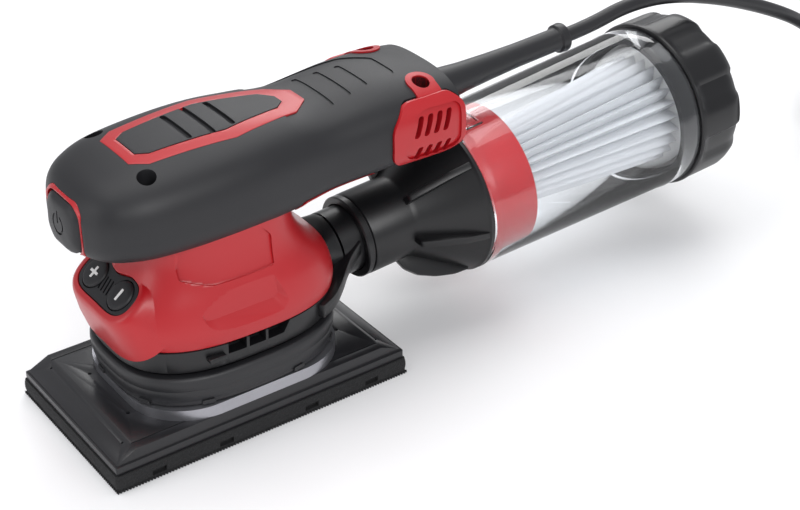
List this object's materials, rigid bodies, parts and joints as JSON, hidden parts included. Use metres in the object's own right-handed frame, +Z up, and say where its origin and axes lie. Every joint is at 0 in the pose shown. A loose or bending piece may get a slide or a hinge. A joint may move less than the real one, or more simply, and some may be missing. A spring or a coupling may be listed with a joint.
{
  "type": "orbital sander",
  "caption": "Corded palm-grip orbital sander: flat rectangular pad on an eccentric drive, in-line handle, front paddle button, speed keys and a clear dust box behind.",
  "frame": {"origin": "centre of the sanding face, on the underside of the hook sheet", "axes": "+X along the tool to the dust box, +Z up from the sanding face to the grip, -Y the side whose vents face a right-handed user's left"},
  "size_m": [0.5245, 0.1078, 0.1203],
  "materials": {
    "grip_rubber": "charcoal soft-touch moulding",
    "red_plastic": "satin red moulding",
    "black_plastic": "fine-grained black moulding",
    "seal_rubber": "ribbed dark rubber",
    "hub_metal": "cast and turned, satin",
    "plate_plastic": "glass-filled plastic",
    "foam": "dense foam rubber",
    "hook_fabric": "hook-and-loop facing",
    "steel": "turned steel",
    "laminations": "stacked laminations",
    "copper": "enamelled copper wire",
    "magnet": "sintered magnets",
    "white_plastic": "fan and filter frame plastic",
    "board": "printed circuit board",
    "clear_plastic": "clear moulded canister",
    "filter_paper": "pleated filter paper",
    "cord_rubber": "satin rubber cable",
    "pin_metal": "nickel-plated brass"
  },
  "bodies": {
    "housing": {"seal_ring": "seal_rubber", "dust_shroud": "black_plastic", "outlet_duct": "black_plastic", "outlet_seal": "seal_rubber", "motor_housing": "red_plastic", "bearing_bracket": "hub_metal", "inlet_plate": "black_plastic", "support_legs": "seal_rubber", "leg_screws": "steel", "motor_cradle": "black_plastic", "stator_core": "laminations", "stator_windings": "copper", "lower_bearing": "steel", "upper_bearing": "steel", "key_panel": "grip_rubber", "key_board": "board", "top_grip_shell": "grip_rubber", "inlay_ring": "red_plastic", "palm_pad": "grip_rubber", "button_bezel": "red_plastic", "handle_belly": "black_plastic", "vent_cheek_near": "red_plastic", "vent_cheek_far": "red_plastic", "grip_screws": "steel", "control_board": "board", "board_parts": "black_plastic", "handle_screws": "steel", "power_switch": "black_plastic", "cable_guard": "cord_rubber", "inner_lead": "cord_rubber", "cord_clamp": "black_plastic", "cord_tube": "cord_rubber", "cord_tail": "cord_rubber", "coil_tie": "seal_rubber", "cord_coil": "cord_rubber", "plug_relief": "cord_rubber", "plug_body": "cord_rubber", "plug_pins": "pin_metal"},
    "shaft": {"motor_shaft": "steel", "balance_weight": "steel", "fan_wheel": "white_plastic", "rotor_core": "laminations", "rotor_magnets": "magnet"},
    "pad": {"hook_sheet": "hook_fabric", "pad_cushion": "foam", "pad_plate": "plate_plastic", "pad_screws": "steel", "pad_carrier": "hub_metal", "pad_bearing": "steel", "bearing_circlip": "steel"},
    "power_button": {"power_button": "grip_rubber"},
    "speed_up_key": {"speed_up_key": "grip_rubber"},
    "speed_down_key": {"speed_down_key": "grip_rubber"},
    "dust_box": {"intake_funnel": "black_plastic", "red_collar": "red_plastic"},
    "canister": {"canister": "clear_plastic"},
    "cap": {"end_cap": "black_plastic", "filter_pleats": "filter_paper", "filter_nose": "white_plastic", "filter_flange": "white_plastic"}
  },
  "joints": [
    {"name": "shaft_spin", "type": "hinge", "parent": "housing", "child": "shaft", "pos_m": [-0.001, 0, 0.06], "axis": [0, 0, 1], "continuous": true},
    {"name": "pad_orbit", "type": "hinge", "parent": "shaft", "child": "pad", "pos_m": [0, 0, 0.026], "axis": [0, 0, 1], "continuous": true},
    {"name": "power_press", "type": "slide", "parent": "housing", "child": "power_button", "axis": [1, 0, 0], "range_m": [0, 0.0012], "stiffness_N_per_m": 1200, "springref_m": -0.001},
    {"name": "speed_up_press", "type": "slide", "parent": "housing", "child": "speed_up_key", "axis": [0.6198, 0, -0.7848], "range_m": [0, 0.0008], "stiffness_N_per_m": 900, "springref_m": -0.0008},
    {"name": "speed_down_press", "type": "slide", "parent": "housing", "child": "speed_down_key", "axis": [0.6198, 0, -0.7848], "range_m": [0, 0.0008], "stiffness_N_per_m": 900, "springref_m": -0.0008},
    {"name": "dust_box_slide", "type": "slide", "parent": "housing", "child": "dust_box", "axis": [0.9975, 0, 0.0706], "range_m": [0, 0.015]},
    {"name": "canister_twist", "type": "hinge", "parent": "dust_box", "child": "canister", "pos_m": [0.06, 0, 0.046], "axis": [0.9975, 0, 0.0706], "range_deg": [0, 25]},
    {"name": "cap_twist", "type": "hinge", "parent": "canister", "child": "cap", "pos_m": [0.06, 0, 0.046], "axis": [0.9975, 0, 0.0706], "range_deg": [0, 25]}
  ],
  "couplings": [
    {"joint": "pad_orbit", "follows": "shaft_spin", "ratio": -1}
  ]
}
